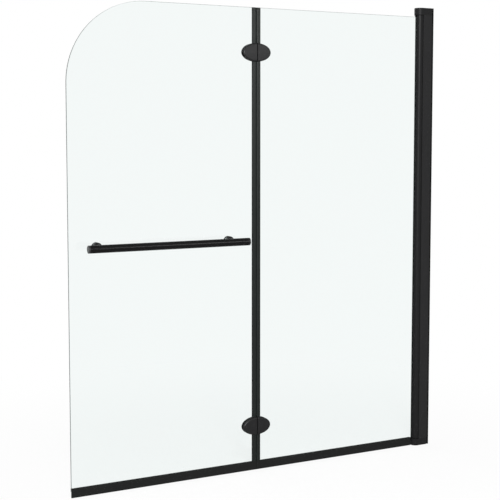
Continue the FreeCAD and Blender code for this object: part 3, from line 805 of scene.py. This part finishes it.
def gasket_section():
    """A U whose lips lie in the mouth of the pocket."""
    mouth, floor = gasket_low.x - axis_x, gasket_high.x - axis_x
    slot = floor - gasket_wall
    outline = [(mouth, -pocket_half), (floor, -pocket_half), (floor, pocket_half), (mouth, pocket_half),
               (mouth, glass_half), (slot, glass_half), (slot, -glass_half), (mouth, -glass_half)]
    return soften(outline, lip_round)


upright_bar("pivot_barrel", *barrel_section())
upright_bar("barrel_gasket", gasket_section())

# %% [markdown]
# The end caps are moulded shells with a boss for the pivot and two for the screws. All of that is
# in the engineering model, so they are softened copies of it, with the rounder edges of a moulding.

# %% End caps
moulded_round = 0.4 * mm

for cap in ("bottom_cap", "top_cap"):
    softened_piece(cap, moulded_round)

# %% [markdown]
# A hinge is a pair of half ovals on the room side, clamped through the glass to two leaves on the
# bath side. The half ovals are cast and polished before they are coated: their faces are slightly
# domed and run into a broad bevel over a soft shoulder, and they stop short of the seam, so that the
# halves show a dark line between them. A ring at one depth is half an oval whose two half axes are
# both shorter by the inset. Rings that shrink towards the middle of the straight edge close the face.

# %% Oval front plates
plate_back = 4.0 * mm
plate_shoulder = 8.0 * mm
plate_bevel = 3.6 * mm
plate_crown = 0.6 * mm
plate_inmost = plate_bevel * 1.5
back_round = 0.4 * mm
shoulder_round = 2.2 * mm
bevel_round = 0.9 * mm
seam_clear = 0.5 * mm
ring_steps = 97
face_steps = 9
boss_radius = 4.3 * mm
boss_end = 3.5 * mm
boss_steps = 32
bolt_radius = 2.5 * mm
bolt_from_seam = 20.0 * mm
bolt_spacing = 24.0 * mm
sides = {"inner": 1, "outer": -1}
inner_oval, outer_oval = [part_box(f"lower_hinge_{panel}_front_plate") for panel in sides]
seam_x = (inner_oval[0].x + outer_oval[1].x) / 2


def half_oval(gap, half_width, half_height, face):
    """Rings from the back of a plate over its rim and bevel to the middle of its face. At inset d
    and angle a a ring lies at (half width - d) cos a across and (half height - d) sin a up, and it
    starts and ends where that is the gap away from the seam. On the face, at share s from the
    middle, the rings are scaled by s and stand out by the crown times 1 - s squared. Two flat faces
    close the back and the straight side."""
    edge = face - plate_crown
    rows = rounded([(plate_inmost, plate_back, 0), (0, plate_back, back_round),
                    (0, plate_shoulder, shoulder_round), (plate_bevel, edge, bevel_round),
                    (plate_inmost, edge, 0)])
    inset, depth = rows[:, :1], rows[:, 1:]
    widest = np.arccos(gap / (half_width - inset))
    angle = np.linspace(-1, 1, ring_steps)[None] * widest
    across = (half_width - inset) * np.cos(angle)
    up = (half_height - inset) * np.sin(angle)
    share = np.linspace(1, 0, face_steps)[1:, None]
    across = np.concatenate([across, gap + share * (across[-1] - gap)])
    up = np.concatenate([up, share * up[-1]])
    depth = np.concatenate([depth, edge + plate_crown * (1 - share ** 2)])
    points = np.stack([across, up, -depth + 0 * up], axis=-1)
    faces = grid_faces(len(points), ring_steps, around=False).tolist()
    first = np.arange(len(points)) * ring_steps
    faces.append(np.arange(ring_steps)[::-1].tolist())
    faces.append(np.concatenate([first[:-1], (first + ring_steps - 1)[::-1]]).tolist())
    return points.reshape(-1, 3), faces


def bolt_places(level):
    """The two clamp screws of a hinge half, as places across and up."""
    return [(bolt_from_seam, level - bolt_spacing / 2), (bolt_from_seam, level + bolt_spacing / 2)]


def front_plate(name, side):
    """The half oval with its two bosses, which pass through the glass."""
    low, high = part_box(name)
    reach = [abs(end - seam_x) for end in (low.x, high.x)]
    level = middle(name)[2]
    shape = half_oval(min(reach) + seam_clear, max(reach), (high.z - low.z) / 2, -low.y)
    plate = placed(shape, "y", (0, 0, level))
    sleeve = [(bolt_radius, -boss_end), (boss_radius, -boss_end), (boss_radius, plate_back),
              (bolt_radius, plate_back)]
    tube, tube_faces = turned(soften(sleeve, edge_round), steps=boss_steps, hollow=True)
    bosses = [placed((tube * (1, 1, -1), tube_faces), "y", (x, 0, z)) for x, z in bolt_places(level)]
    points, faces = together(plate, *bosses)
    return points * (side, 1, 1) + (seam_x, 0, 0), faces


for level in ("lower", "upper"):
    for panel, side in sides.items():
        name = f"{level}_hinge_{panel}_front_plate"
        surface_piece(name, front_plate(name, side))
        softened_piece(f"{level}_hinge_{panel}_rear_leaf", edge_round)

# %% [markdown]
# The seals are extruded soft plastic, and they are pushed onto the edges of the glass. The upright
# ones have a rounded nose that closes the joint between the panels, and a shallow line along each
# flank where the hard grip meets the soft nose. Their ends are cut to the ovals of the hinges, which
# leaves no gap of light there.

# %% Upright seals
nose_round = 3.6 * mm
seal_round = 0.5 * mm
pane_round = seal_round / 2
line_width = 1.0 * mm
line_depth = 0.35 * mm
line_round = line_depth / 3
line_from_nose = 4.2 * mm
seal_reach = 0.4 * mm


def edge_seal(name, side, hinged):
    """A U on the edge of the glass, closed by a rounded nose. The corners of the nose are drawn
    with a longer reach than the others, and the lines along the flanks with a shorter one. An end
    at a hinge is cut to the oval: it is longer by the reach and, away from the seam, by the half
    height times 1 minus the root of 1 - (distance from the seam over the half width) squared."""
    low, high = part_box(name)
    near, far = sorted(abs(end - seam_x) for end in (low.x, high.x))
    pane_low, pane_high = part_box(f"{'inner' if side > 0 else 'outer'}_glass")
    pane = pane_low.x - seam_x if side > 0 else seam_x - pane_high.x
    half = high.y
    line, slant = near + line_from_nose, line_width / 3
    flank = [
        (near, -half, nose_round), (line, -half, line_round),
        (line + slant, line_depth - half, line_round), (line + 2 * slant, line_depth - half, line_round),
        (line + line_width, -half, line_round), (far, -half, seal_round),
        (far, -glass_half, seal_round), (pane, -glass_half, pane_round)]
    section = rounded(flank + [(x, -y, reach) for x, y, reach in reversed(flank)])
    points, faces = bar(section, low.z, high.z)
    oval_low, oval_high = outer_oval
    share = points[:, 0] / (seam_x - oval_low.x)
    longer = (oval_high.z - oval_low.z) / 2 * (1 - np.sqrt(1 - share ** 2)) + seal_reach
    down, up = hinged
    points[:, 2] += np.where(points[:, 2] > middle(name)[2], longer * up, -longer * down)
    return points * (side, 1, 1) + (seam_x, 0, 0), faces


for panel, side in sides.items():
    for length, hinged in {"lower": (0, 1), "middle": (1, 1), "upper": (1, 0)}.items():
        name = f"{panel}_edge_seal_{length}"
        surface_piece(name, edge_seal(name, side, hinged))

# %% [markdown]
# The foot seals grip the lower edge of the glass and carry a hollow lip that rests on the rim of the
# bath. Each corner of the section has its own rounding: wide at the lip, which is soft, and small
# where the grip is hard.

# %% Foot seals
grip_height = 10.0 * mm
grip_round = 0.4 * mm
grip_heel_round = 0.8 * mm
lip_front = 4.0 * mm
lip_width = 4.5 * mm
lip_wall = 1.2 * mm
foot_lip_round = 1.6 * mm


def foot_seal(name):
    """The section of the grip with the lip below it, and the hollow in the lip."""
    low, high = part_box(name)
    half, top = high.y, high.z
    shoulder = top - grip_height
    glass_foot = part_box("outer_glass")[0].z
    back = lip_width - lip_front
    section = rounded([
        (-half, top, grip_round), (-half, shoulder, grip_round), (-lip_front, shoulder, nook_round),
        (-lip_front, low.z, foot_lip_round), (back, low.z, foot_lip_round),
        (back, shoulder, grip_round), (half, shoulder, grip_heel_round), (half, top, seal_round),
        (glass_half, top, seal_round), (glass_half, glass_foot, edge_round),
        (-glass_half, glass_foot, edge_round), (-glass_half, top, seal_round)])
    front, rear = lip_wall - lip_front, back - lip_wall
    floor, roof = low.z + lip_wall, shoulder - lip_wall / 2
    hollow = soften([(front, floor), (rear, floor), (rear, roof), (front, roof)], seal_round)
    return placed(bar(section, low.x, high.x, holes=[hollow]), "x")


for panel in sides:
    surface_piece(f"{panel}_foot_seal", foot_seal(f"{panel}_foot_seal"))

# %% [markdown]
# The rail is a tube closed by two plugs. It stands off the glass on two posts, each with a round
# flange against the glass and a saddle round the tube. A bolt through the glass holds each post
# from a disc on the bath side.

# %% Rail, plugs, posts and discs
rail_low, rail_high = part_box("rail_tube")
rail_radius = (rail_high.z - rail_low.z) / 2
rail_y, rail_z = middle("rail_tube")[1:]
rail_wall = 1.5 * mm
rail_steps = 96
rail_bore_steps = 64
plug_head = 4.0 * mm
plug_rim_round = 1.2 * mm
plug_spigot = 12.0 * mm
plug_tip_round = 0.5 * mm
plug_play = 0.02 * mm
post_radius = 9.0 * mm
post_fillet = 1.2 * mm
post_rings = 8
disc_bevel = 1.2 * mm
disc_rim_round = 0.6 * mm
disc_face_round = 0.5 * mm
disc_foot = 4.0 * mm
rail_bolt_radius = 3.05 * mm
sink_radius = 6.05 * mm


def end_plug(name):
    """A head as wide as the tube, with a rounded rim, and a spigot inside the tube."""
    low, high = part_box(name)
    spigot = rail_radius - rail_wall - plug_play
    tip = plug_head + plug_spigot
    rows = rounded([(0, 0, 0), (rail_radius, 0, plug_rim_round), (rail_radius, plug_head, edge_round),
                    (spigot, plug_head, nook_round), (spigot, tip, plug_tip_round), (0, tip, 0)])
    way = -1 if high.x > rail_high.x else 1
    face = low.x if way > 0 else high.x
    points, faces = turned(rows)
    return placed((points * (1, 1, way), faces), "x", (face, rail_y, rail_z))


def rail_post(name):
    """A flange, a soft fillet and a round post. Where the post meets the tube its length is cut to
    the saddle: the distance of the rail from the glass, less the root of the tube's radius squared
    less the height above its axis squared."""
    low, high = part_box(name)
    x, disc = middle(name)[0], (high.x - low.x) / 2
    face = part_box(name.replace("post", "rear_cap"))[1].y
    flange = rounded([
        (0, disc_foot, 0), (disc, disc_foot, edge_round), (disc, face - disc_bevel, disc_rim_round),
        (disc - disc_bevel, face, disc_face_round), (post_radius, face, post_fillet),
        (post_radius, -rail_y, 0), (0, -rail_y, 0)])
    inner = [(radius, -rail_y) for radius in np.linspace(post_radius, 0, post_rings)]
    points, faces = turned(np.concatenate([flange[:-corner_steps], inner]))
    saddle = -rail_y - np.sqrt(np.maximum(rail_radius ** 2 - points[:, 1] ** 2, 0))
    points[:, 2] = -np.minimum(points[:, 2], saddle)
    return placed((points, faces), "y", (x, 0, rail_z))


def rear_disc(name):
    """A bevelled disc with a countersunk hole."""
    low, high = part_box(name)
    x, disc, face = middle(name)[0], (high.x - low.x) / 2, high.y
    sink = face - (sink_radius - rail_bolt_radius)
    loop = [(rail_bolt_radius, disc_foot), (disc, disc_foot), (disc, face - disc_bevel),
            (disc - disc_bevel, face), (sink_radius, face), (rail_bolt_radius, sink)]
    return placed(turned(soften(loop, edge_round), hollow=True), "y", (x, 0, rail_z))


outside = circle(rail_radius, steps=rail_steps)
bore = circle(rail_radius - rail_wall, steps=rail_bore_steps)
tube = bar(outside, rail_low.x, rail_high.x, holes=[bore])
surface_piece("rail_tube", placed(tube, "x", (0, rail_y, rail_z)))
for end in ("left", "right"):
    surface_piece(f"rail_{end}_plug", end_plug(f"rail_{end}_plug"))
    surface_piece(f"rail_{end}_post", rail_post(f"rail_{end}_post"))
    surface_piece(f"rail_{end}_rear_cap", rear_disc(f"rail_{end}_rear_cap"))

# %% [markdown]
# All screws have a six-sided socket. A screw is turned from its socket's floor over the head to the
# tip, and only the rings of the socket are six-sided, so the round head runs down into a hexagon.
#
# Four hinge screws in each panel clamp the rear leaves through the glass to the front plates. The
# cap screws run into the sleeve's ports, the adjusting screws clamp the sleeve to the channel, and
# the rail's bolts hold its posts. Like screws are one piece, as in the engineering model.

# %% Screws
socket_share = 0.42
socket_depth_share = 0.75
socket_lead = 0.15 * mm
socket_flare = 1.08
sunk_rim = 0.25 * mm
raised_rim = 0.8 * mm
rim_curve = 0.3
screw_steps = 48
tip_bevel = 0.6 * mm
adjusting_count = 3
screw_sizes = {
    "hinge": dict(head=4.8 * mm, head_depth=2.6 * mm, shank=2.45 * mm, length=18.0 * mm),
    "cap": dict(head=3.7 * mm, head_depth=1.9 * mm, shank=1.95 * mm, length=34.0 * mm),
    "adjusting": dict(head=4.0 * mm, head_depth=2.2 * mm, shank=2.0 * mm, length=10.0 * mm, sunk=False),
    "rail": dict(head=6.0 * mm, head_depth=3.0 * mm, shank=3.0 * mm, length=36.0 * mm),
}


def screw(head, head_depth, shank, length, sunk=True):
    """Rows from the middle of the socket's floor to the tip. A sunk head is a cone, the other has
    a rounded rim and a flat seat."""
    socket, depth = head * socket_share, head_depth * socket_depth_share
    rim = sunk_rim if sunk else raised_rim
    under = [(shank, head_depth)] if sunk else [(head, head_depth), (shank, head_depth)]
    curve = rim * rim_curve
    rows = [(0, depth, 1), (socket, depth, 1), (socket, socket_lead, 1), (socket * socket_flare, 0, 1),
            (head - rim, 0), (head - curve, curve), (head, rim), *under,
            (shank, length - tip_bevel), (shank - tip_bevel, length), (0, length)]
    return turned(rows, steps=screw_steps)


def screw_group(node, size, way, places):
    """A piece of several like screws. A place is the middle of a head's face, with 1 for a screw
    that points along the axis and -1 for one that points back."""
    points, faces = screw(**screw_sizes[size])
    copies = [placed((points * (1, 1, turn), faces), way, place) for *place, turn in places]
    surface_piece(node, together(*copies))


for panel, side in sides.items():
    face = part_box(f"{panel}_hinge_screws")[1].y
    levels = [middle(f"{level}_hinge_{panel}_front_plate")[2] for level in ("lower", "upper")]
    screw_group(f"{panel}_hinge_screws", "hinge", "y", [
        (seam_x + side * x, face, z, -1) for level in levels for x, z in bolt_places(level)])

low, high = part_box("cap_screws")
x = middle("cap_screws")[0]
screw_group("cap_screws", "cap", "z", [
    (x, y, z, turn) for y in (-port_offset, port_offset) for z, turn in ((low.z, 1), (high.z, -1))])

low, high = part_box("adjusting_screws")
x = middle("adjusting_screws")[0]
head = (high.x - low.x) / 2
screw_group("adjusting_screws", "adjusting", "y", [
    (x, high.y, z, -1) for z in np.linspace(low.z + head, high.z - head, adjusting_count)])

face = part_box("rail_bolts")[1].y
screw_group("rail_bolts", "rail", "y", [
    (middle(f"rail_{end}_post")[0], face, rail_z, -1) for end in ("left", "right")])

# %% [markdown]
# What is left are the two panes and the small inner pieces: pins, nuts, bushes, washers and pads.
# Their engineering shapes are right as they are, so they stay and only take their finish.

# %% Finishes on the remaining engineering pieces
for node, thing in frame["nodes"].items():
    thing.material_slots[0].material = finishes[slot_of[node]]
kept = sorted(node for node, thing in frame["nodes"].items() if not thing.hide_render)
print(len(kept), "engineering pieces stay:", ", ".join(kept))

# %% [markdown]
# A photographer hangs black flags between a lamp and whatever it shouldn't light. Light linking does
# the same here: each group of lamps has a collection of the pieces that it lights. The panes are in
# none of them, so they mirror no lamp.


# %% Lamps and what they light
def keep_to(lamps, title, wanted):
    """Lets some lamps light only the pieces that are wanted."""
    lit = bpy.data.collections.new(title)
    for thing in bpy.context.scene.objects:
        if thing.type == "MESH" and wanted(thing.name):
            lit.objects.link(thing)
    for lamp in lamps:
        lamp.light_linking.receiver_collection = lit
    print(", ".join(lamp.name for lamp in lamps), "light", title)


keep_to(room_lamps, "all but the glass", lambda name: "glass" not in name)
keep_to(fitting_lamps, "hinges, upright seals and rail",
        lambda name: any(word in name for word in ("hinge", "edge_seal", "rail")))
keep_to(rail_lamps, "tube of the rail", lambda name: "rail_tube" in name)
keep_to(bevel_lamps, "front plates of the hinges", lambda name: "front_plate" in name)

# %% [markdown]
